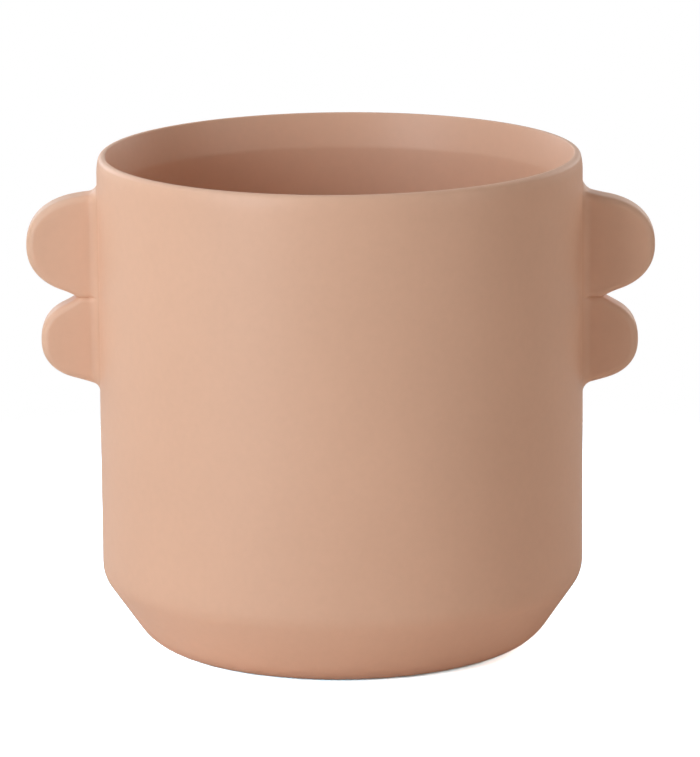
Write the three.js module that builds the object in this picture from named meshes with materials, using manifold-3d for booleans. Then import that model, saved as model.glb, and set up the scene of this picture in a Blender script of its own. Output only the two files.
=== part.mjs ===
// A round ceramic plant pot with a flat, two-lobed ear on its left and its right side.
// Millimetres, +Z up. The origin is the centre of the foot, on the surface that the pot stands on.
// X runs through both ears, and the front of the pot faces -Y.
import * as THREE from "three";
import { mergeVertices } from "three/addons/utils/BufferGeometryUtils.js";
import Module from "manifold-3d";

// The pot, outside
const POT_RADIUS = 75;
const POT_HEIGHT = 154;
const CHAMFER_HEIGHT = 22; // where the straight wall ends and the sloping bottom starts
const BASE_RADIUS = 59; // of the bottom edge, before it is rounded
const CHAMFER_ROUND = 15;
const BASE_ROUND = 16;

// The pot, inside
const WALL = 5;
const FLOOR = 6;
const LIP_THICKNESS = 3.1;
const LIP_DEPTH = 11.4; // how far down the wall thickens, from the lip to its full thickness
const LIP_KNEE_ROUND = 15;
const INNER_CHAMFER_ROUND = 10;
const INNER_BASE_ROUND = 12;

// The underside: an unglazed ring to stand on, round a shallow recess
const FOOT_WIDTH = 6;
const FOOT_RECESS = 2;
const FOOT_ROUND = 0.9;

// The ears: each lobe is half a superellipse that stands out from the wall as a flat slab
const UPPER_LOBE = { reach: 22.3, halfHeight: 15.7, squareness: 2.22 };
const LOWER_LOBE = { reach: 17.6, halfHeight: 12.8, squareness: 2.28 };
const CREASE_DROP = 44.9; // from the rim down to the crease where the two lobes of an ear meet
const LOBE_SPACING = 1.3; // between the two lobes' outlines at the wall, before the notch is filled
const EAR_THICKNESS = 11.2;
const EAR_EDGE_ROUND = 2.2;
const ROOT_FILLET = 3; // where a lobe grows out of the wall
const NOTCH_FILLET = 11.3; // where the two lobes grow together behind the notch
const CREASE_PRESS = 0.6; // how far each lobe is pressed flat where it meets the other one

// The clearance between each pair of touching pieces
const SEAM = 0.3;

// How finely curves are cut into flats
const POT_SEGMENTS = 80;
const ARC_STEP = 0.2; // radians of turn for each flat of a rounded corner
const LOBE_STEPS = 13;
const FILLET_STEPS = 4;
const EDGE_STEPS = 4;

const wasm = await Module();
wasm.setup();

// A closed geometry as a solid that can be cut.
function solidOf(geometry) {
  const bare = geometry.clone();
  bare.deleteAttribute("normal");
  bare.deleteAttribute("uv");
  const merged = mergeVertices(bare, 1e-4);
  const mesh = new wasm.Mesh({
    numProp: 3,
    vertProperties: merged.attributes.position.array,
    triVerts: new Uint32Array(merged.index.array),
  });
  return new wasm.Manifold(mesh);
}

// A cut solid as a geometry that can be shown.
function geometryOf(solid) {
  const mesh = solid.getMesh();
  const geometry = new THREE.BufferGeometry();
  geometry.setAttribute("position", new THREE.BufferAttribute(mesh.vertProperties, 3));
  geometry.setIndex(new THREE.BufferAttribute(mesh.triVerts, 1));
  geometry.computeVertexNormals();
  return geometry;
}

// A profile through corners { at: [radius, height], round }, where each round corner is an arc.
function roundedProfile(corners) {
  const points = [];
  corners.forEach(({ at, round }, i) => {
    const corner = new THREE.Vector2(...at);
    if (!round) {
      points.push(corner);
      return;
    }
    const back = new THREE.Vector2(...corners[i - 1].at).sub(corner).normalize();
    const ahead = new THREE.Vector2(...corners[i + 1].at).sub(corner).normalize();
    const turn = Math.PI - Math.acos(back.dot(ahead));
    const start = corner.clone().addScaledVector(back, round * Math.tan(turn / 2));
    const inwards = back.clone().add(ahead).normalize();
    const centre = corner.clone().addScaledVector(inwards, round / Math.cos(turn / 2));
    const side = Math.sign(ahead.cross(back));
    const steps = Math.ceil(turn / ARC_STEP);
    for (let k = 0; k <= steps; k++) {
      points.push(start.clone().rotateAround(centre, (side * turn * k) / steps));
    }
  });
  return points;
}

// The pot without its ears, as one turned profile: under the foot, up the outside and down the inside.
function potGeometry() {
  const innerRadius = POT_RADIUS - WALL;
  const floorHeight = FOOT_RECESS + FLOOR;

  // The inside of the sloping bottom is its outside, moved in by the wall's thickness.
  const slope = Math.atan2(POT_RADIUS - BASE_RADIUS, CHAMFER_HEIGHT);
  const innerChamferHeight = CHAMFER_HEIGHT + WALL * Math.tan(slope / 2);
  const innerBaseRadius = innerRadius - (innerChamferHeight - floorHeight) * Math.tan(slope);

  // The foot ring starts where the rounded bottom edge ends.
  const footOuter = BASE_RADIUS - BASE_ROUND * Math.tan((Math.PI / 2 - slope) / 2);
  const footInner = footOuter - FOOT_WIDTH;

  // The two rounds of the lip meet in its middle.
  const lipSlope = Math.atan2(WALL - LIP_THICKNESS, LIP_DEPTH);
  const lipRound = LIP_THICKNESS / (1 + Math.tan(Math.PI / 4 + lipSlope / 2));

  const profile = roundedProfile([
    { at: [0, FOOT_RECESS] },
    { at: [footInner - FOOT_RECESS, FOOT_RECESS], round: FOOT_ROUND },
    { at: [footInner, 0], round: FOOT_ROUND },
    { at: [BASE_RADIUS, 0], round: BASE_ROUND },
    { at: [POT_RADIUS, CHAMFER_HEIGHT], round: CHAMFER_ROUND },
    { at: [POT_RADIUS, POT_HEIGHT], round: lipRound },
    { at: [POT_RADIUS - LIP_THICKNESS, POT_HEIGHT], round: lipRound },
    { at: [innerRadius, POT_HEIGHT - LIP_DEPTH], round: LIP_KNEE_ROUND },
    { at: [innerRadius, innerChamferHeight], round: INNER_CHAMFER_ROUND },
    { at: [innerBaseRadius, floorHeight], round: INNER_BASE_ROUND },
    { at: [0, floorHeight] },
  ]);
  return new THREE.LatheGeometry(profile, POT_SEGMENTS).rotateX(Math.PI / 2);
}

// How much a fillet adds at a distance from the wall.
function flare(fillet, distance) {
  const rest = fillet - THREE.MathUtils.clamp(distance, 0, fillet);
  return fillet - Math.sqrt(fillet ** 2 - rest ** 2);
}

// Half the height of a lobe at a distance from the wall, on its outline drawn in by inset.
function lobeHalfHeight(lobe, distance, inset) {
  const share = Math.max(distance, 0) / (lobe.reach - inset);
  const left = Math.max(1 - share ** lobe.squareness, 0);
  return (lobe.halfHeight - inset) * left ** (1 / lobe.squareness);
}

// One cross-section of a lobe, parallel to the wall: a rounded rectangle that the fillets widen.
// Its notch end faces the other lobe: 1 is up and -1 is down.
function lobeRing(lobe, distance, notchEnd) {
  const flat = EAR_THICKNESS / 2 - EAR_EDGE_ROUND;
  const rootFlare = flare(ROOT_FILLET, distance);
  const outline = lobeHalfHeight(lobe, distance, 0);
  const pressed = lobe.halfHeight + LOBE_SPACING / 2 + CREASE_PRESS + rootFlare;
  const notchReach = Math.min(outline + flare(NOTCH_FILLET, distance), pressed);
  const spare = Math.min((lobe.reach - distance) / EAR_EDGE_ROUND, 1);
  const first = Math.asin(1 - spare);
  const corner = (side, end) => {
    const points = [];
    for (let k = 0; k <= EDGE_STEPS; k++) {
      const angle = THREE.MathUtils.lerp(first, Math.PI / 2, k / EDGE_STEPS);
      const inset = EAR_EDGE_ROUND * (1 - Math.sin(angle));
      const across = flat + (EAR_EDGE_ROUND + rootFlare) * Math.cos(angle);
      const drawnIn = lobeHalfHeight(lobe, distance, inset);
      const added = end === notchEnd ? notchReach - outline : rootFlare * Math.sin(angle);
      const wall = Math.sqrt(POT_RADIUS ** 2 - across ** 2);
      points.push(new THREE.Vector3(wall + distance, side * across, end * (drawnIn + added)));
    }
    return points;
  };
  return [
    ...corner(1, 1),
    ...corner(-1, 1).reverse(),
    ...corner(-1, -1),
    ...corner(1, -1).reverse(),
  ];
}

// A closed skin over rings of equally many points. The last ring has closed up to a line.
function loftGeometry(rings) {
  const positions = [];
  const face = (...corners) => {
    const [a, b, c] = corners;
    if (a.distanceTo(b) > 1e-4 && b.distanceTo(c) > 1e-4 && c.distanceTo(a) > 1e-4) {
      corners.forEach((corner) => positions.push(...corner.toArray()));
    }
  };
  const count = rings[0].length;
  for (let i = 0; i < count; i++) {
    const next = (i + 1) % count;
    if (i > 0 && next > 0) face(rings[0][0], rings[0][next], rings[0][i]);
    for (let k = 1; k < rings.length; k++) {
      face(rings[k - 1][i], rings[k - 1][next], rings[k][next]);
      face(rings[k - 1][i], rings[k][next], rings[k][i]);
    }
  }
  const geometry = new THREE.BufferGeometry();
  geometry.setAttribute("position", new THREE.Float32BufferAttribute(positions, 3));
  return geometry;
}

// One lobe on the +X side: lofted from inside the wall to its tip, then cut to seat on the wall and
// against the other lobe of its ear. Up is 1 for the upper lobe and -1 for the lower one.
function lobeGeometry(lobe, up) {
  const distances = [-ROOT_FILLET];
  for (let k = 0; k <= FILLET_STEPS; k++) {
    distances.push(ROOT_FILLET * (1 - Math.cos((Math.PI / 2) * (k / FILLET_STEPS))));
  }
  for (let k = 1; k <= LOBE_STEPS; k++) {
    const distance = lobe.reach * Math.sin((Math.PI / 2) * (k / LOBE_STEPS)) ** (2 / lobe.squareness);
    if (distance > ROOT_FILLET + EAR_EDGE_ROUND / 2) distances.push(distance);
  }
  const creaseHeight = POT_HEIGHT - CREASE_DROP;
  const centreHeight = creaseHeight + up * (LOBE_SPACING / 2 + lobe.halfHeight);
  const rings = distances.map((distance) => lobeRing(lobe, distance, -up));
  const lobeSolid = solidOf(loftGeometry(rings).translate(0, 0, centreHeight));

  const seat = POT_RADIUS + SEAM;
  const wallSpace = new THREE.CylinderGeometry(seat, seat, 2 * POT_HEIGHT, POT_SEGMENTS);
  wallSpace.rotateX(Math.PI / 2);
  const otherSpace = new THREE.BoxGeometry(4 * POT_RADIUS, POT_RADIUS, POT_HEIGHT);
  otherSpace.translate(0, 0, creaseHeight + up * (SEAM / 2 - POT_HEIGHT / 2));
  return geometryOf(lobeSolid.subtract(solidOf(wallSpace)).subtract(solidOf(otherSpace)));
}

// The two lobes of one ear, as they sit on the +X side.
function ear(side) {
  const glaze = new THREE.MeshStandardMaterial({ color: 0xd6ab8d, roughness: 0.5, metalness: 0 });
  const group = new THREE.Group();
  const lobes = { upper: [UPPER_LOBE, 1], lower: [LOWER_LOBE, -1] };
  for (const [name, [lobe, up]] of Object.entries(lobes)) {
    const mesh = new THREE.Mesh(lobeGeometry(lobe, up), glaze);
    mesh.name = `ear_${side}_${name}`;
    group.add(mesh);
  }
  return group;
}

const body = new THREE.Mesh(
  potGeometry(),
  new THREE.MeshStandardMaterial({ color: 0xdcb698, roughness: 0.5, metalness: 0 }),
);
body.name = "pot_body";

const rightEar = ear("right");
const leftEar = ear("left");
leftEar.rotation.z = Math.PI;

const pot = new THREE.Group();
pot.add(body, leftEar, rightEar);
export default pot;
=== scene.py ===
# %% [markdown]
# # Dressing a ceramic plant pot
# The object is a round pot of peach coloured, matte glazed earthenware with two flat ears, and each ear
# is a larger lobe above a smaller one. Its construction is already there as five plain solids. They
# could be shown as they are, but they are cut into flats, and a fired pot is all soft roundings. So this
# lesson keeps their sizes and places, models each piece again with a fine mesh, and gives it a glaze.

# %% Load the solids as a fixed frame
import math

import bmesh
import bpy
from mathutils import Euler, Matrix, Vector, noise


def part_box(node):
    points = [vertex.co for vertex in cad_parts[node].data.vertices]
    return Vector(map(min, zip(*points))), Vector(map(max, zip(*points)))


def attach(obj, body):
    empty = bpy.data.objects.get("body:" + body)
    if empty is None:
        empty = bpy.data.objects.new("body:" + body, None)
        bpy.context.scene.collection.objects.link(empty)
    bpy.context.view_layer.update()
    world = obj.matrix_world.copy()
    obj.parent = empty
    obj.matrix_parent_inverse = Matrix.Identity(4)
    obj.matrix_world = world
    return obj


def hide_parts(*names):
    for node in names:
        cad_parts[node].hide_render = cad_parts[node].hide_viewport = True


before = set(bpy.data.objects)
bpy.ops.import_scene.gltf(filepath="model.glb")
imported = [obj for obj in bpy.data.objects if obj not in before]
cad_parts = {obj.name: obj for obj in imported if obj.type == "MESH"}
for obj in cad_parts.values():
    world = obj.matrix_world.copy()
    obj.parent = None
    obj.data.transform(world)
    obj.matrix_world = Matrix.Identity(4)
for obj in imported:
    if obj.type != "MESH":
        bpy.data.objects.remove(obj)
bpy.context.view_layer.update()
print("solids:", ", ".join(sorted(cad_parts)))

# %% [markdown]
# ## Sizes
# The outer sizes are read from the solids, so that the finished pot can't drift away from them. The
# sizes that a box doesn't tell, such as the wall's thickness and the roundings, are named here. A maker
# thinks of a pot in millimetres and Blender in metres, so each one is written in millimetres times MM.

# %% Name the sizes
MM = 0.001

POT_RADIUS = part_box("pot_body")[1].x
POT_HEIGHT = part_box("pot_body")[1].z

CHAMFER_HEIGHT = 22.4 * MM
BASE_RADIUS = 59.4 * MM
CHAMFER_ROUND = 10 * MM
BASE_ROUND = 16 * MM
WALL = 5 * MM
FLOOR = 6 * MM
LIP_THICKNESS = 2.6 * MM
LIP_DEPTH = 10.8 * MM
LIP_TAPER = 0.8 * MM
LIP_TAPER_HEIGHT = 3.2 * MM
LIP_TAPER_ROUND = 16 * MM
LIP_OUTER_ROUND = 1.65 * MM
LIP_INNER_ROUND = 0.5 * MM
LIP_KNEE_ROUND = 8 * MM
INNER_CHAMFER_ROUND = 10 * MM
INNER_BASE_ROUND = 12 * MM
FOOT_WIDTH = 6 * MM
FOOT_RECESS = 2 * MM
FOOT_ROUND = 0.9 * MM

print(f"pot: {POT_RADIUS * 2 / MM:.1f} mm across, {POT_HEIGHT / MM:.1f} mm high")

# %% [markdown]
# ## The camera
# The photograph shows the pot from the front and a little above, through a long lens: the sides run
# almost parallel. The camera could be placed by eye, but then the shapes couldn't be compared. Its
# distance, height, lens and slight lean were worked out from the pot's outline, and are written here as
# real values. Blender's sensor width belongs to the longer side of the picture, which is its height.

# %% Place the camera
PHOTO_HEIGHT_PX = 757
FOCAL_LENGTH_PX = 6133
SENSOR = 36
AIM_HEIGHT = 75 * MM
CAMERA_DISTANCE = 1908.5 * MM
CAMERA_ELEVATION = math.radians(12.415)
CAMERA_TILT = math.radians(12.194)
CAMERA_YAW = math.radians(0.083)
CAMERA_LEAN = math.radians(-0.469)


def place_camera():
    """The camera at the photograph's viewing angle, as the scene's own camera."""
    data = bpy.data.cameras.new("photo_camera")
    data.sensor_width = SENSOR
    data.lens = FOCAL_LENGTH_PX * SENSOR / PHOTO_HEIGHT_PX
    camera = bpy.data.objects.new("photo_camera", data)
    bpy.context.collection.objects.link(camera)
    back = Vector((0, -math.cos(CAMERA_ELEVATION), math.sin(CAMERA_ELEVATION)))
    turn = Euler((math.pi / 2 - CAMERA_TILT, 0, -CAMERA_YAW)).to_matrix()
    lean = Matrix.Rotation(CAMERA_LEAN, 3, "Z")
    place = Matrix.Translation(Vector((0, 0, AIM_HEIGHT)) + back * CAMERA_DISTANCE)
    camera.matrix_world = place @ (turn @ lean).to_4x4()
    bpy.context.scene.camera = camera
    return camera


camera = place_camera()
print(f"camera: {camera.data.lens:.1f} mm lens at", [round(v, 3) for v in camera.location])

# %% [markdown]
# ## Building node groups
# The glaze is the same on the pot and on its ears, only a little thicker or thinner. What makes it look
# like glaze could be copied into each material, but then a change has to be made twice. Each effect is
# a node group instead, with named inputs that each material sets for itself. These helpers make a group
# with its sockets, place it, and add single nodes for a sum, a noise or a mix of colours.

# %% Helpers for nodes


def add_node(tree, kind, inputs=None, **settings):
    """One node with its settings. Inputs maps a socket's name or number to a value or a socket."""
    node = tree.nodes.new(kind)
    for name, value in settings.items():
        setattr(node, name, value)
    for name, value in (inputs or {}).items():
        if isinstance(value, bpy.types.NodeSocket):
            tree.links.new(value, node.inputs[name])
        else:
            node.inputs[name].default_value = value
    return node


def new_group(name, inputs, outputs):
    """An empty node group. Inputs are (name, kind, default) and outputs are (name, kind)."""
    tree = bpy.data.node_groups.new(name, "ShaderNodeTree")
    for label, kind, default in inputs:
        socket = tree.interface.new_socket(label, in_out="INPUT", socket_type=kind)
        socket.default_value = default
    for label, kind in outputs:
        tree.interface.new_socket(label, in_out="OUTPUT", socket_type=kind)
    return tree, tree.nodes.new("NodeGroupInput"), tree.nodes.new("NodeGroupOutput")


def use_group(tree, group, inputs):
    """A group placed in a material, with this material's own values."""
    return add_node(tree, "ShaderNodeGroup", inputs, node_tree=group)


def math_node(tree, operation, first, second, clamp=False):
    """The result of a sum on two values or sockets."""
    node = add_node(tree, "ShaderNodeMath", {0: first, 1: second}, operation=operation)
    node.use_clamp = clamp
    return node.outputs[0]


def noise_node(tree, place, scale):
    """The level of a noise at a place, mostly from 0 to 1."""
    return add_node(tree, "ShaderNodeTexNoise", {"Vector": place, "Scale": scale}).outputs["Fac"]


def mix_colours(tree, factor, first, second):
    """One colour fading into another by a factor."""
    node = add_node(tree, "ShaderNodeMix", data_type="RGBA")
    for socket, value in ((node.inputs[0], factor), (node.inputs[6], first), (node.inputs[7], second)):
        if isinstance(value, bpy.types.NodeSocket):
            tree.links.new(value, socket)
        else:
            socket.default_value = value
    return node.outputs[2]


print("node helpers: add_node, new_group, use_group, math_node, noise_node and mix_colours")

# %% [markdown]
# ## Glaze tone
# A sprayed matte glaze is never quite one colour. Broad clouds show where the coat is a little thicker,
# and a fine mottle comes from the spray's drops. A painted picture could hold both, but noise in the
# object's own space has no seams and runs on from the pot to its ears. The group lightens and darkens
# the glaze's colour by both at once. Noise stays close to its middle, so it is spread out first.

# %% Make the glaze tone group
NOISE_MIDDLE = 0.5
NOISE_SPREAD = 4


def glaze_tone_group():
    """Clouds and mottle over a glaze's colour."""
    tree, given, result = new_group(
        "glaze_tone",
        [
            ("Color", "NodeSocketColor", (0.8, 0.8, 0.8, 1)),
            ("Cloud Scale", "NodeSocketFloat", 25),
            ("Cloud Depth", "NodeSocketFloat", 0.04),
            ("Mottle Scale", "NodeSocketFloat", 400),
            ("Mottle Depth", "NodeSocketFloat", 0.02),
        ],
        [("Color", "NodeSocketColor")],
    )
    place = tree.nodes.new("ShaderNodeTexCoord").outputs["Object"]
    total = 1.0
    for layer in ("Cloud", "Mottle"):
        spots = noise_node(tree, place, given.outputs[f"{layer} Scale"])
        centred = math_node(tree, "SUBTRACT", spots, NOISE_MIDDLE)
        swing = math_node(tree, "MULTIPLY", centred, given.outputs[f"{layer} Depth"])
        spread = math_node(tree, "MULTIPLY", swing, NOISE_SPREAD)
        total = math_node(tree, "ADD", total, spread)
    colour = given.outputs["Color"]
    shade = add_node(tree, "ShaderNodeVectorMath", {0: colour, 1: total}, operation="MULTIPLY")
    tree.links.new(shade.outputs[0], result.inputs["Color"])
    return tree


glaze_tone = glaze_tone_group()
print("group:", glaze_tone.name, "with", len(glaze_tone.nodes), "nodes")

# %% [markdown]
# ## Glaze on edges, painted shade in corners
# Glaze draws back from sharp edges while it melts, so the lip and the ears' edges are a little paler.
# The
# corners are painted a deeper peach: partly glaze that gathers in hollows, and partly painted shade
# where less light reaches. An ambient occlusion node could find the edges, but it depends on what is
# near. Here each mesh stores how far it bends at each point, which is read back as an attribute: above
# zero on an edge, and below zero in a hollow. Noise makes the thin glaze along an edge a little ragged.

# %% Make the glaze edge group
RAGGED_SCALE = 350


def make_edge_and_shade_group():
    """Thin glaze on edges, and gathered glaze with painted shade in hollows, from the mesh's own bend
    attribute.
    """
    tree, given, result = new_group(
        "edge_and_shade",
        [
            ("Color", "NodeSocketColor", (0.8, 0.8, 0.8, 1)),
            ("Thin Color", "NodeSocketColor", (0.9, 0.8, 0.7, 1)),
            ("Thin Amount", "NodeSocketFloat", 0.3),
            ("Hollow Glaze And Shade Color", "NodeSocketColor", (0.6, 0.4, 0.3, 1)),
            ("Hollow Glaze And Shade Amount", "NodeSocketFloat", 0.3),
        ],
        [("Color", "NodeSocketColor")],
    )
    bend = add_node(tree, "ShaderNodeAttribute", attribute_name="bend").outputs["Fac"]
    place = tree.nodes.new("ShaderNodeTexCoord").outputs["Object"]
    ragged = math_node(tree, "ADD", noise_node(tree, place, RAGGED_SCALE), 1 - NOISE_MIDDLE)
    thin = math_node(tree, "MULTIPLY", bend, ragged, clamp=True)
    # Hollows get a darker colour: partly gathered glaze and partly painted shade.
    hollow_glaze_and_shade = math_node(tree, "MULTIPLY", bend, -1.0, clamp=True)
    thin_part = math_node(tree, "MULTIPLY", thin, given.outputs["Thin Amount"], clamp=True)
    hollow_glaze_and_shade_part = math_node(tree, "MULTIPLY", hollow_glaze_and_shade, given.outputs["Hollow Glaze And Shade Amount"], clamp=True)
    hollow_glazed_and_shaded = mix_colours(tree, hollow_glaze_and_shade_part, given.outputs["Color"], given.outputs["Hollow Glaze And Shade Color"])
    both = mix_colours(tree, thin_part, hollow_glazed_and_shaded, given.outputs["Thin Color"])
    tree.links.new(both, result.inputs["Color"])
    return tree


edge_and_shade = make_edge_and_shade_group()
print("group:", edge_and_shade.name, "with", len(edge_and_shade.nodes), "nodes")

# %% [markdown]
# ## Glaze skin
# Seen close, a matte glaze has a soft dimpled skin and, over it, a fine tooth that spreads the light.
# Both are far too small to model, so they are height for a bump. The group gives the height, and the
# dimples alone as a grain for the roughness. The bump node stays in each material, with its depth.

# %% Make the glaze skin group


def glaze_skin_group():
    """Height of a matte glaze's dimples and tooth, and the dimples alone as a grain."""
    tree, given, result = new_group(
        "glaze_skin",
        [
            ("Dimple Scale", "NodeSocketFloat", 500),
            ("Tooth Scale", "NodeSocketFloat", 4000),
            ("Tooth Share", "NodeSocketFloat", 0.3),
        ],
        [("Height", "NodeSocketFloat"), ("Grain", "NodeSocketFloat")],
    )
    place = tree.nodes.new("ShaderNodeTexCoord").outputs["Object"]
    dimple = noise_node(tree, place, given.outputs["Dimple Scale"])
    tooth = noise_node(tree, place, given.outputs["Tooth Scale"])
    tooth_part = math_node(tree, "MULTIPLY", tooth, given.outputs["Tooth Share"])
    height = math_node(tree, "ADD", dimple, tooth_part)
    tree.links.new(height, result.inputs["Height"])
    tree.links.new(dimple, result.inputs["Grain"])
    return tree


glaze_skin = glaze_skin_group()
print("group:", glaze_skin.name, "with", len(glaze_skin.nodes), "nodes")

# %% [markdown]
# ## The two glaze materials
# The pot and its ears get a material each. One glaze could serve for both, but the ears were dipped once
# more, so their peach is a trace deeper and their edges show it drawn thin. Both materials place the
# three groups with their own values. The shader itself is a Principled BSDF with a middling roughness
# and a low specular level: a broad, soft sheen and no mirror.

# %% Mix the glazes
PEACH = (0.81, 0.471, 0.318, 1)
EAR_PEACH = (0.785, 0.464, 0.314, 1)
PEACH_THIN = (0.80, 0.56, 0.42, 1)
# The deeper colour in the hollows and its amount: partly gathered glaze, partly painted shade.
HOLLOW_PEACH_AND_SHADE = (0.60, 0.33, 0.21, 1)
POT_THIN_AMOUNT = 0.04
EAR_THIN_AMOUNT = 0.1
HOLLOW_GLAZE_AND_SHADE_AMOUNT = 0.4
TONE = {"Cloud Scale": 22, "Cloud Depth": 0.025, "Mottle Scale": 420, "Mottle Depth": 0.012}
SKIN = {"Dimple Scale": 520, "Tooth Scale": 4200, "Tooth Share": 0.3}
SKIN_DEPTH = 0.012 * MM
GLAZE_ROUGHNESS = 0.45
GLAZE_ROUGHNESS_SWING = 0.12
GLAZE_SPECULAR = 0.35


def glaze_material(name, peach, thin_amount):
    """A matte peach glaze. Gives the material, its shader and the sockets of colour and roughness."""
    material = bpy.data.materials.new(name)
    material.use_nodes = True
    tree = material.node_tree
    shader = tree.nodes["Principled BSDF"]
    tone = use_group(tree, glaze_tone, {"Color": peach, **TONE})
    # This group pales the edges and darkens the hollows, partly as gathered glaze and partly as painted
    # shade.
    edge = use_group(
        tree,
        edge_and_shade,
        {
            "Color": tone.outputs["Color"],
            "Thin Color": PEACH_THIN,
            "Thin Amount": thin_amount,
            "Hollow Glaze And Shade Color": HOLLOW_PEACH_AND_SHADE,
            "Hollow Glaze And Shade Amount": HOLLOW_GLAZE_AND_SHADE_AMOUNT,
        },
    )
    skin = use_group(tree, glaze_skin, SKIN)
    grain = math_node(tree, "MULTIPLY", skin.outputs["Grain"], GLAZE_ROUGHNESS_SWING)
    rough = math_node(tree, "ADD", grain, GLAZE_ROUGHNESS - GLAZE_ROUGHNESS_SWING / 2)
    tree.links.new(rough, shader.inputs["Roughness"])
    tree.links.new(edge.outputs["Color"], shader.inputs["Base Color"])
    shader.inputs["Specular IOR Level"].default_value = GLAZE_SPECULAR
    bump = add_node(tree, "ShaderNodeBump", {"Height": skin.outputs["Height"], "Distance": SKIN_DEPTH})
    tree.links.new(bump.outputs["Normal"], shader.inputs["Normal"])
    return material, shader, edge.outputs["Color"], rough


pot_glaze, pot_shader, pot_colour, pot_roughness = glaze_material("pot_glaze", PEACH, POT_THIN_AMOUNT)
ear_glaze = glaze_material("ear_glaze", EAR_PEACH, EAR_THIN_AMOUNT)[0]
print("materials:", pot_glaze.name, "and", ear_glaze.name)

# %% [markdown]
# ## The bare ring under the foot
# A potter wipes the glaze off the ring that the pot stands on, so that it doesn't stick to the kiln
# shelf. The bare clay there is greyer, gritty and rougher. The ring could be faces with a material of
# their own, but its edge would follow the mesh. Here it is found by its height above the table, and
# noise lets the line wander.

# %% Leave the foot bare
BARE_CLAY = (0.68, 0.56, 0.45, 1)
BARE_CLAY_DARK = (0.51, 0.42, 0.3375, 1)
GRIT_SCALE = 1500
GRIT_AMOUNT = 0.5
BARE_ROUGHER = 0.35
GLAZE_LINE = 0.7 * MM
GLAZE_LINE_WANDER = 0.5 * MM
GLAZE_LINE_WANDER_SCALE = 60
GLAZE_LINE_SOFTNESS = 0.15 * MM


def leave_foot_bare(material, shader, glazed, glazed_roughness):
    """The unglazed ring that the pot stands on."""
    tree = material.node_tree
    place = tree.nodes.new("ShaderNodeTexCoord").outputs["Object"]
    height = add_node(tree, "ShaderNodeSeparateXYZ", {"Vector": place}).outputs["Z"]
    wander = noise_node(tree, place, GLAZE_LINE_WANDER_SCALE)
    shift = math_node(tree, "MULTIPLY", wander, 2 * GLAZE_LINE_WANDER)
    line = math_node(tree, "ADD", shift, GLAZE_LINE - GLAZE_LINE_WANDER)
    above = math_node(tree, "SUBTRACT", height, line)
    bare = math_node(tree, "MULTIPLY", above, -1 / GLAZE_LINE_SOFTNESS, clamp=True)
    grit = math_node(tree, "MULTIPLY", noise_node(tree, place, GRIT_SCALE), GRIT_AMOUNT)
    clay = mix_colours(tree, grit, BARE_CLAY, BARE_CLAY_DARK)
    tree.links.new(mix_colours(tree, bare, glazed, clay), shader.inputs["Base Color"])
    extra = math_node(tree, "MULTIPLY", bare, BARE_ROUGHER)
    tree.links.new(math_node(tree, "ADD", glazed_roughness, extra), shader.inputs["Roughness"])


leave_foot_bare(pot_glaze, pot_shader, pot_colour, pot_roughness)
print(f"bare clay up to about {GLAZE_LINE / MM:.1f} mm above the table")

# %% [markdown]
# ## A fired pot is never quite true
# Clay moves a little when it dries and is fired: the wall wanders by a tenth of a millimetre. Noise
# could be added to each piece by itself, but then the ears would part from the wall. Instead one
# function says where any point of the raw clay ends up, and each piece goes through it.

# %% Warp the clay
WARP = 0.12 * MM
WARP_SIZE = 55 * MM


def fired(point):
    """Where a point of the raw clay is after firing: a little further in or out."""
    out = Vector((point.x, point.y, 0))
    if out.length < MM:
        return point.copy()
    drift = noise.noise(point / WARP_SIZE) * WARP
    return point + out.normalized() * drift * min(out.length / POT_RADIUS, 1)


front_of_rim = Vector((0, -POT_RADIUS, POT_HEIGHT))
print(f"the front of the rim moves {(fired(front_of_rim) - front_of_rim).length / MM:.3f} mm")

# %% [markdown]
# ## Marking edges and hollows
# The glaze and the painted shade in hollows need to know where the clay bends. For two joined points,
# the turn of the surface from one to the other, divided by their distance, is how sharply it bends: on
# an edge the two normals spread, and in a hollow they lean together. Averaging over the neighbours a few
# times softens the result.

# %% Measure how far the surface bends
SHARP_ROUND = 4 * MM
BEND_PASSES = 3


def mark_bend(mesh):
    """Stores the bend of each point: 1 on a sharp edge, 0 where it is flat and -1 in a tight hollow."""
    work = bmesh.new()
    work.from_mesh(mesh)
    work.normal_update()
    bends = []
    for vertex in work.verts:
        turns = []
        for edge in vertex.link_edges:
            other = edge.other_vert(vertex)
            step = other.co - vertex.co
            turns.append((other.normal - vertex.normal).dot(step) / step.length_squared)
        bends.append(max(-1, min(1, SHARP_ROUND * sum(turns) / len(turns))))
    for _ in range(BEND_PASSES):
        spread = []
        for vertex in work.verts:
            near = [bends[edge.other_vert(vertex).index] for edge in vertex.link_edges]
            spread.append((bends[vertex.index] + sum(near)) / (1 + len(near)))
        bends = spread
    work.free()
    attribute = mesh.attributes.new("bend", "FLOAT", "POINT")
    attribute.data.foreach_set("value", bends)


print(f"a rounding of {SHARP_ROUND / MM:.0f} mm or less counts as an edge, and gets a bend of 1")

# %% [markdown]
# ## Finishing a piece
# Every piece of clay is finished in the same way. Its points go through the warp, doubled points are
# merged, the faces are turned outwards and the bend is stored. Smooth shading hides the facets, and only
# an edge with a wider angle, such as the bottom of the crease, stays crisp. A subdivision modifier could
# smooth the piece too, but its roundings are already as fine as they are seen. The piece rides on the
# one body, stands for its solid and takes the solid's slot.

# %% Finish a piece
MERGE_DISTANCE = 0.0005 * MM
CRISP_ANGLE = math.radians(35)


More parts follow.
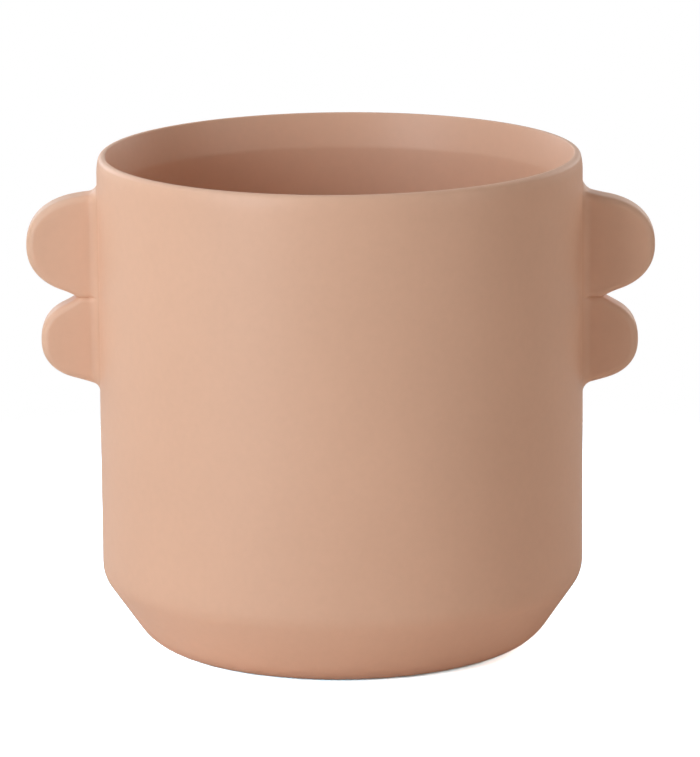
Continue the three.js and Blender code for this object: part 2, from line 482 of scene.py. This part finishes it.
def finish_piece(name, points, faces, material, node):
    """A closed piece of fired clay that stands for one solid of the frame."""
    mesh = bpy.data.meshes.new(name)
    mesh.from_pydata([fired(point) for point in points], [], faces)
    work = bmesh.new()
    work.from_mesh(mesh)
    bmesh.ops.remove_doubles(work, verts=work.verts, dist=MERGE_DISTANCE)
    bmesh.ops.dissolve_degenerate(work, edges=work.edges, dist=MERGE_DISTANCE)
    bmesh.ops.recalc_face_normals(work, faces=work.faces)
    work.to_mesh(mesh)
    work.free()
    mesh.shade_smooth()
    mesh.set_sharp_from_angle(angle=CRISP_ANGLE)
    mark_bend(mesh)
    mesh.materials.append(material)
    piece = bpy.data.objects.new(name, mesh)
    bpy.context.collection.objects.link(piece)
    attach(piece, "root")
    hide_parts(node)
    print(f"{name}: {len(mesh.vertices)} points, {len(mesh.polygons)} faces")


# %% [markdown]
# ## The pot's profile
# A slip cast pot is a turned shape, so half of its section says everything: under the foot, up the
# outside, over the lip and down the inside. The lip is thinner than the wall, leans in a little at its
# top and is rounded over, and below it the wall thickens with a soft knee. The profile is a list of
# corners, each with the radius that it is rounded to. A bevel modifier could round them, but not each
# with its own radius.

# %% Round a profile
ARC_STEP = math.radians(6)
STRAIGHT_STEP = 3 * MM


def arc_at(corner, before, after, radius):
    """The points of an arc that rounds one corner of a profile."""
    back = (before - corner).normalized()
    ahead = (after - corner).normalized()
    turn = math.pi - back.angle(ahead)
    start = corner + back * radius * math.tan(turn / 2)
    centre = corner + (back + ahead).normalized() * radius / math.cos(turn / 2)
    side = math.copysign(1, ahead.cross(back))
    count = math.ceil(turn / ARC_STEP)
    spoke = start - centre
    return [centre + Matrix.Rotation(side * turn * k / count, 2) @ spoke for k in range(count + 1)]


def rounded_profile(corners):
    """A fine profile through (radius, height, rounding) corners."""
    rough = []
    places = [Vector(corner[:2]) for corner in corners]
    for i, (_, _, rounding) in enumerate(corners):
        if rounding:
            rough += arc_at(places[i], places[i - 1], places[i + 1], rounding)
        else:
            rough.append(places[i])
    fine = [rough[0]]
    for start, end in zip(rough, rough[1:]):
        count = max(1, math.ceil((end - start).length / STRAIGHT_STEP))
        fine += [start.lerp(end, k / count) for k in range(1, count + 1)]
    return fine


square_corner = arc_at(Vector((1, 1)), Vector((0, 1)), Vector((1, 0)), 0.1)
print("points on the rounding of a right angle:", len(square_corner))

# %% [markdown]
# ## Drawing the pot's profile
# The corners are listed in the order in which a finger would follow the section. The inside runs along
# the outside at the wall's thickness, so its corners are worked out from the outer ones. They could be
# measured and typed in as well, but then a change of the wall would mean changing them all.

# %% Draw the profile


def pot_profile():
    """The pot's half section, from the middle of the underside round to the middle of the floor."""
    inner_radius = POT_RADIUS - WALL
    floor_height = FOOT_RECESS + FLOOR
    slope = math.atan2(POT_RADIUS - BASE_RADIUS, CHAMFER_HEIGHT)
    inner_chamfer = CHAMFER_HEIGHT + WALL * math.tan(slope / 2)
    inner_base = inner_radius - (inner_chamfer - floor_height) * math.tan(slope)
    foot_outer = BASE_RADIUS - BASE_ROUND * math.tan((math.pi / 2 - slope) / 2)
    foot_inner = foot_outer - FOOT_WIDTH
    return rounded_profile(
        [
            (0, FOOT_RECESS, 0),
            (foot_inner - FOOT_RECESS, FOOT_RECESS, FOOT_ROUND),
            (foot_inner, 0, FOOT_ROUND),
            (BASE_RADIUS, 0, BASE_ROUND),
            (POT_RADIUS, CHAMFER_HEIGHT, CHAMFER_ROUND),
            (POT_RADIUS, POT_HEIGHT - LIP_TAPER_HEIGHT, LIP_TAPER_ROUND),
            (POT_RADIUS - LIP_TAPER, POT_HEIGHT, LIP_OUTER_ROUND),
            (POT_RADIUS - LIP_THICKNESS, POT_HEIGHT, LIP_INNER_ROUND),
            (inner_radius, POT_HEIGHT - LIP_DEPTH, LIP_KNEE_ROUND),
            (inner_radius, inner_chamfer, INNER_CHAMFER_ROUND),
            (inner_base, floor_height, INNER_BASE_ROUND),
            (0, floor_height, 0),
        ]
    )


profile = pot_profile()
print("profile:", len(profile), "points")

# %% [markdown]
# ## Turning the pot
# The profile is swept once round the axis. A screw modifier would do that too, but the mesh has to go
# through the warp, so its points are made here. The first and the last point of the profile lie on the
# axis, and there the faces are triangles round one shared point.

# %% Turn the profile
TURN_STEPS = 288


def turned(profile, steps):
    """Points and faces of a profile that is swept round the Z axis."""
    points = []
    for place in profile:
        for k in range(steps):
            angle = 2 * math.pi * k / steps
            points.append(Vector((place.x * math.cos(angle), place.x * math.sin(angle), place.y)))
    faces = []
    for row in range(len(profile) - 1):
        low, high = row * steps, (row + 1) * steps
        for k in range(steps):
            after = (k + 1) % steps
            faces.append((low + k, low + after, high + after, high + k))
    return points, faces


pot_points, pot_faces = turned(profile, TURN_STEPS)
finish_piece("pot", pot_points, pot_faces, pot_glaze, "pot_body")

# %% [markdown]
# ## The shape of a lobe
# Each ear is two pressed lobes. Seen from the front, a lobe is half a superellipse: squarer than an
# ellipse and rounder than a rectangle. It is a slab with rounded edges that grows out of the round wall
# with a small fillet, and the two lobes run together behind the notch. A cube with bevels can't follow
# the round wall, so the lobe is built from rings. Each ring is one cross-section, a fixed distance off
# the wall, and bends with it.

# %% Name the lobes' sizes
EAR_THICKNESS = 11.2 * MM
EAR_EDGE_ROUND = 2.2 * MM
ROOT_FILLET = 3 * MM
NOTCH_FILLET = 11.3 * MM
CREASE_PRESS = 0.45 * MM
CREASE_GAP = 0.02 * MM
LOBE_SPACING = 1.3 * MM
SLANT_REACH = 8 * MM
LOBE_SHAPES = {
    "upper": {"half_height": 15.7 * MM, "squareness": 2.27, "up": 1},
    "lower": {"half_height": 12.8 * MM, "squareness": 2.32, "up": -1},
}


def flare(fillet, distance):
    """How much a fillet adds at a distance from the wall."""
    rest = fillet - max(0, min(distance, fillet))
    return fillet - math.sqrt(fillet**2 - rest**2)


def outline_height(lobe, distance, inset):
    """Half the height of a lobe at a distance from the wall, on its outline drawn in by inset."""
    share = max(distance, 0) / (lobe["reach"] - inset)
    left = max(1 - share ** lobe["squareness"], 0)
    return (lobe["half_height"] - inset) * left ** (1 / lobe["squareness"])


print("lobes of an ear:", ", ".join(LOBE_SHAPES))

# %% [markdown]
# ## One ring of a lobe
# A ring is a rounded rectangle. Each of its four corners is an arc that starts on the flat of the slab
# and ends on its rim. At the notch the arcs stop early, where they meet the other lobe: this leaves the
# shallow groove that runs from the notch to the wall. Where an arc stops is found by halving.

# %% Round the corners of a ring
EDGE_STEPS = 8
HALVINGS = 30


def corner_arc(lobe, distance, at_notch):
    """Points (across, up) of one rounded corner, from the slab's flat to its rim."""
    root = flare(ROOT_FILLET, distance)
    slant = lobe["slant"] * max(0, 1 - distance / SLANT_REACH) ** 2
    end_root = flare(lobe["end_fillet"], distance) + slant
    outline = outline_height(lobe, distance, 0)
    meeting = lobe["half_height"] + LOBE_SPACING / 2
    pressed = meeting + CREASE_PRESS + root
    notch_reach = min(outline + flare(NOTCH_FILLET, distance), pressed)

    def place(angle):
        inset = EAR_EDGE_ROUND * (1 - math.sin(angle))
        across = EAR_THICKNESS / 2 - EAR_EDGE_ROUND + (EAR_EDGE_ROUND + root) * math.cos(angle)
        added = notch_reach - outline if at_notch else end_root * math.sin(angle)
        return across, outline_height(lobe, distance, inset) + added

    spare = min((lobe["reach"] - distance) / EAR_EDGE_ROUND, 1)
    first = math.asin(1 - max(spare, 0))
    last = math.pi / 2
    limit = meeting - CREASE_GAP / 2
    if at_notch and place(last)[1] > limit:
        low, high = first, last
        for _ in range(HALVINGS):
            middle = (low + high) / 2
            low, high = (middle, high) if place(middle)[1] < limit else (low, middle)
        last = low
    arc = [place(first + (last - first) * k / EDGE_STEPS) for k in range(EDGE_STEPS + 1)]
    return [(across, min(up, limit) if at_notch else up) for across, up in arc]


print("points on a rounded corner:", EDGE_STEPS + 1)

# %% [markdown]
# ## Closing a ring
# Two of the four arcs are at the free end of the lobe and two at the notch, and on the other face of the
# slab they are mirrored. Straight runs of points join them, with equally many points in every ring. Then
# each point moves out to where the round wall is. A flat ring could be bent by a modifier instead, but
# it wouldn't lie on the wall as exactly.

# %% Make a ring
FACE_STEPS = 8
RIM_STEPS = 4


def between(start, end, steps):
    """The points strictly between two points."""
    return [tuple(a + (b - a) * k / steps for a, b in zip(start, end)) for k in range(1, steps)]


def mirrored(arc):
    """An arc on the other face of the slab, in the same order."""
    return [(-across, up) for across, up in arc]


def lobe_ring(lobe, distance, spread=0):
    """One closed cross-section on the +X side. Spread widens it, but not towards the other lobe."""
    corners = {}
    for end in (1, -1):
        at_notch = end == -lobe["up"]
        arc = corner_arc(lobe, distance, at_notch)
        stretch = 0 if at_notch else spread
        corners[end] = [(across + spread, end * (up + stretch)) for across, up in arc]
    top, bottom = corners[1], corners[-1]
    arcs = [top, mirrored(top)[::-1], mirrored(bottom), bottom[::-1]]
    loop = []
    for arc, after, steps in zip(arcs, arcs[1:] + arcs[:1], 2 * (RIM_STEPS, FACE_STEPS)):
        loop += arc + between(arc[-1], after[0], steps)
    return [
        Vector((math.sqrt(POT_RADIUS**2 - across**2) + distance, across, up)) for across, up in loop
    ]


print("points in a ring:", 4 * EDGE_STEPS + 2 * (RIM_STEPS + FACE_STEPS))

# %% [markdown]
# ## From rings to a lobe
# The rings are close together in the fillet and near the tip, where the shape turns fastest. The first
# ring lies a hair's breadth inside the wall and a little wider, so that the clay runs into the wall with
# no step to see. Blender's bridge tool could join the rings, but here their points already match one to
# one, so the faces are listed directly. The first ring is closed by a flat face.

# %% Loft the rings
FILLET_STEPS = 12
LOBE_STEPS = 44
RING_GAP = 0.3 * MM
FEATHER_DEPTH = 0.012 * MM
FEATHER_SPREAD = 0.5 * MM


def ring_distances(lobe):
    """How far off the wall each ring lies."""
    turns = [math.pi / 2 * k / FILLET_STEPS for k in range(FILLET_STEPS + 1)]
    distances = [ROOT_FILLET * (1 - math.cos(turn)) for turn in turns]
    for k in range(1, LOBE_STEPS + 1):
        share = math.sin(math.pi / 2 * k / LOBE_STEPS) ** (2 / lobe["squareness"])
        if lobe["reach"] * share > ROOT_FILLET + RING_GAP:
            distances.append(lobe["reach"] * share)
    return distances


def lofted(rings):
    """Points and faces of a skin over rings of equally many points, closed at the first."""
    count = len(rings[0])
    points = [point for ring in rings for point in ring]
    faces = [tuple(range(count))]
    for row in range(len(rings) - 1):
        low, high = row * count, (row + 1) * count
        for k in range(count):
            after = (k + 1) % count
            faces.append((low + k, low + after, high + after, high + k))
    return points, faces


print("rings in a fillet:", FILLET_STEPS + 1)

# %% [markdown]
# ## Four lobes, stuck on by hand
# The lobes were pressed and stuck on by hand, so no two are quite alike. The left ear sits a little
# higher than the right one, each lobe is a fraction of a millimetre longer or shorter, and its free end
# slants down to the wall more or less and has its own fillet there. One lobe could be copied four times,
# but then the ears would look machined. The differences are in millimetres.

# %% Place the lobes
HAND_WORK = {
    ("left", "upper"): {"lift": 0.8, "longer": -0.25, "taller": -0.05, "fillet": 2.9, "slant": 0.3},
    ("left", "lower"): {"lift": 0.8, "longer": 0.35, "taller": 0, "fillet": 1.6, "slant": 1.7},
    ("right", "upper"): {"lift": -0.3, "longer": 0.12, "taller": -0.1, "fillet": 3.3, "slant": 1.4},
    ("right", "lower"): {"lift": -0.3, "longer": -0.35, "taller": 0.13, "fillet": 2.4, "slant": 1.3},
}


def lobe_mesh(side, name):
    """Points and faces of one lobe, at its place on the left or the right of the pot."""
    low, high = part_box(f"ear_{side}_{name}")
    other_low, other_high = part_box(f"ear_{side}_{'lower' if name == 'upper' else 'upper'}")
    work = HAND_WORK[side, name]
    crease = (max(low.z, other_low.z) + min(high.z, other_high.z)) / 2 + work["lift"] * MM
    lobe = dict(LOBE_SHAPES[name])
    lobe["reach"] = max(abs(low.x), abs(high.x)) - POT_RADIUS + work["longer"] * MM
    lobe["half_height"] += work["taller"] * MM
    lobe["end_fillet"] = work["fillet"] * MM
    lobe["slant"] = work["slant"] * MM
    rings = [lobe_ring(lobe, -FEATHER_DEPTH, FEATHER_SPREAD)]
    rings += [lobe_ring(lobe, distance) for distance in ring_distances(lobe)]
    centre = Vector((0, 0, crease + lobe["up"] * (LOBE_SPACING / 2 + lobe["half_height"])))
    turn = Matrix.Rotation(math.pi if side == "left" else 0, 3, "Z")
    points, faces = lofted(rings)
    return [turn @ (point + centre) for point in points], faces


for side in ("left", "right"):
    for name in LOBE_SHAPES:
        points, faces = lobe_mesh(side, name)
        node = f"ear_{side}_{name}"
        finish_piece(f"{side}_{name}_lobe", points, faces, ear_glaze, node)

# %% [markdown]
# ## The floor and the background
# The photograph is a cut-out on white. The pot stands on a plain pale floor that bounces light up at it
# like a real one. Only for the camera it is brighter, so that it shows as white with a faint shadow
# where the pot stands, and bluer, because the light that the pot throws on it is warm. Further out it
# fades into the white room, and seen from below it isn't there. A plain square would still keep all
# light off the underside, so the floor is a disc with a round opening. The foot covers the opening from
# above, and can be looked at from below.

# %% Lay the floor
FLOOR_RADIUS = 3
FLOOR_OPENING = 50.5 * MM
FLOOR_STEPS = 96
FLOOR_COLOUR = (0.98, 0.91, 0.86, 1)
FLOOR_SHOWN_COLOUR = (5.7, 7.6, 9, 1)
FLOOR_FADE_START = 0.16
FLOOR_FADE_END = 0.34


def floor_material():
    """White to the camera, pale to all other light, and clear from below."""
    material = bpy.data.materials.new("studio_floor")
    material.use_nodes = True
    tree = material.node_tree
    tree.nodes.remove(tree.nodes["Principled BSDF"])
    seen = tree.nodes.new("ShaderNodeLightPath").outputs["Is Camera Ray"]
    colour = mix_colours(tree, seen, FLOOR_COLOUR, FLOOR_SHOWN_COLOUR)
    matte = add_node(tree, "ShaderNodeBsdfDiffuse", {"Color": colour})
    place = tree.nodes.new("ShaderNodeTexCoord").outputs["Object"]
    out = add_node(tree, "ShaderNodeVectorMath", {0: place}, operation="LENGTH").outputs["Value"]
    far = add_node(
        tree,
        "ShaderNodeMapRange",
        {"Value": out, "From Min": FLOOR_FADE_START, "From Max": FLOOR_FADE_END},
        interpolation_type="SMOOTHSTEP",
    )
    faded = math_node(tree, "MULTIPLY", far.outputs["Result"], seen)
    below = tree.nodes.new("ShaderNodeNewGeometry").outputs["Backfacing"]
    gone = math_node(tree, "MAXIMUM", faded, below)
    clear = tree.nodes.new("ShaderNodeBsdfTransparent").outputs[0]
    both = add_node(tree, "ShaderNodeMixShader", {0: gone, 1: matte.outputs[0], 2: clear})
    tree.links.new(both.outputs[0], tree.nodes["Material Output"].inputs["Surface"])
    return material


def lay_floor():
    """A large disc under the pot, open where the foot covers it."""
    mesh = bpy.data.meshes.new("studio_floor")
    angles = [2 * math.pi * k / FLOOR_STEPS for k in range(FLOOR_STEPS)]
    points = [
        (radius * math.cos(angle), radius * math.sin(angle), 0)
        for radius in (FLOOR_OPENING, FLOOR_RADIUS)
        for angle in angles
    ]
    after = [(k + 1) % FLOOR_STEPS for k in range(FLOOR_STEPS)]
    faces = [(k, FLOOR_STEPS + k, FLOOR_STEPS + after[k], after[k]) for k in range(FLOOR_STEPS)]
    mesh.from_pydata(points, [], faces)
    mesh.materials.append(floor_material())
    floor = bpy.data.objects.new("studio_floor", mesh)
    bpy.context.collection.objects.link(floor)


lay_floor()
print("floor:", 2 * FLOOR_RADIUS, "m across")

# %% [markdown]
# ## The light
# The left side of the pot is bright and its right side falls into a warm shade, but even there it
# isn't dark. One lamp and a grey room would come near to that, but the broad highlight on the inside of
# the lip and the pale bands along both sides of the wall come from more of them. There is a soft key on
# the left, a high window, two lamps behind the pot that pick out its sides, and a weak fill with a low
# card on the right. The light from the left is a touch cool and the light from the right a touch warm.
# Their levels are set so that the lit side renders about as the glaze is written.

# %% Hang the lamps
COOL = (0.88, 1, 1.09)
DAYLIGHT = (0.93, 1, 1.04)
WARM = (1.06, 1, 0.94)
LAMPS = {
    "key": {"azimuth": -42, "elevation": 14, "size": (0.45, 0.35), "power": 3.95, "colour": COOL},
    "window": {"azimuth": -70, "elevation": 55, "size": (1, 0.8), "power": 4.8, "colour": DAYLIGHT},
    "back_left": {"azimuth": -140, "elevation": 20, "size": (0.6, 0.5), "power": 1.85, "colour": COOL},
    "back_right": {"azimuth": 135, "elevation": 20, "size": (0.6, 0.5), "power": 1.85, "colour": WARM},
    "fill": {"azimuth": 60, "elevation": 14, "size": (0.5, 0.4), "power": 1.3, "colour": WARM},
    "card": {"azimuth": 35, "elevation": 0, "size": (0.75, 0.14), "power": 0.25, "colour": WARM},
}
LAMP_DISTANCE = 1


def hang_lamp(name, azimuth, elevation, size, power, colour):
    """A soft lamp that looks at the pot. Azimuth 0 is in front, -90 on the left and 90 on the right."""
    data = bpy.data.lights.new(name, "AREA")
    data.shape = "RECTANGLE"
    data.size, data.size_y = size
    data.energy = power
    data.color = colour
    lamp = bpy.data.objects.new(name, data)
    bpy.context.collection.objects.link(lamp)
    a, e = math.radians(azimuth), math.radians(elevation)
    out = Vector((math.sin(a) * math.cos(e), -math.cos(a) * math.cos(e), math.sin(e)))
    lamp.location = Vector((0, 0, POT_HEIGHT / 2)) + out * LAMP_DISTANCE
    lamp.rotation_euler = out.to_track_quat("Z", "Y").to_euler()
    lamp.visible_camera = False


for name, values in LAMPS.items():
    hang_lamp(name, **values)
print("lamps:", ", ".join(LAMPS))

# %% [markdown]
# ## The room
# Around the lamps the room is white to the camera and in reflections, and dim for all other light. A
# brighter room would be simpler, but it lights the pot from all sides and flattens it. Only well below
# the floor the room is lighter, and there it lights nothing but the underside of the foot.

# %% Light the room
ROOM_LIGHT = 0.06
LIGHT_BELOW = 0.6
SLOPE_BELOW = -0.1


def light_room():
    """A plain room: white where it is seen, dim around the pot and lighter below the floor."""
    world = bpy.data.worlds.new("studio_room")
    world.use_nodes = True
    tree = world.node_tree
    path = tree.nodes.new("ShaderNodeLightPath")
    shown = math_node(tree, "MAXIMUM", path.outputs["Is Camera Ray"], path.outputs["Is Glossy Ray"])
    way = tree.nodes.new("ShaderNodeTexCoord").outputs["Generated"]
    height = add_node(tree, "ShaderNodeSeparateXYZ", {"Vector": way}).outputs["Z"]
    lower = math_node(tree, "LESS_THAN", height, SLOPE_BELOW)
    extra = math_node(tree, "MULTIPLY", lower, LIGHT_BELOW - ROOM_LIGHT)
    plain = math_node(tree, "ADD", extra, ROOM_LIGHT)
    level = math_node(tree, "MAXIMUM", shown, plain)
    tree.links.new(level, tree.nodes["Background"].inputs["Strength"])
    tree.nodes["Background"].inputs["Color"].default_value = (1, 1, 1, 1)
    bpy.context.scene.world = world


light_room()
bpy.context.scene.view_settings.view_transform = "Standard"
print("room:", bpy.context.scene.world.name)
